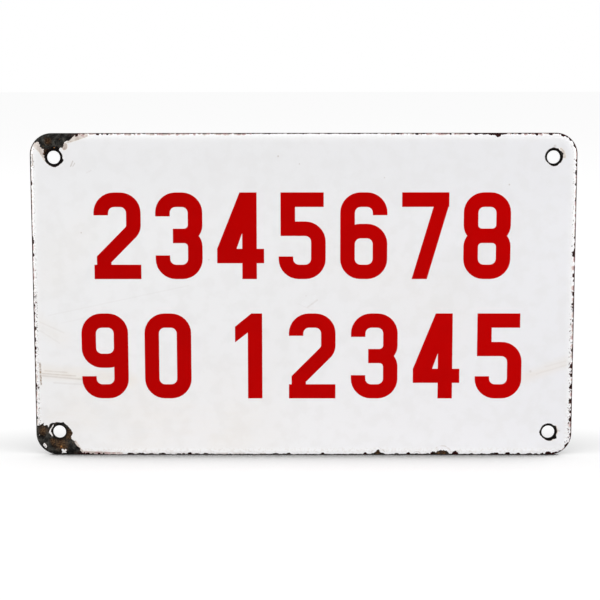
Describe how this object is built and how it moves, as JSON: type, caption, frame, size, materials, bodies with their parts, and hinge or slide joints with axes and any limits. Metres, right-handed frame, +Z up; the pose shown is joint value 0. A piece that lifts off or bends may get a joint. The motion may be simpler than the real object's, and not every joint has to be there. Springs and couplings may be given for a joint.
{
  "type": "enamel sign",
  "caption": "Flat rectangular enamelled steel wall sign with rounded corners, a gently rolled-back edge and a screw hole in each corner, chipped and worn.",
  "frame": {"origin": "on the back of the flat field, midway between the four screw holes", "axes": "+X to the reader's right, +Y from the front face towards the wall, +Z up"},
  "size_m": [0.25, 0.0025, 0.15],
  "materials": {
    "white_enamel": "glossy vitreous enamel, white cover coat over a dark ground coat"
  },
  "bodies": {
    "root": {"sign_plate": "white_enamel"}
  },
  "joints": []
}
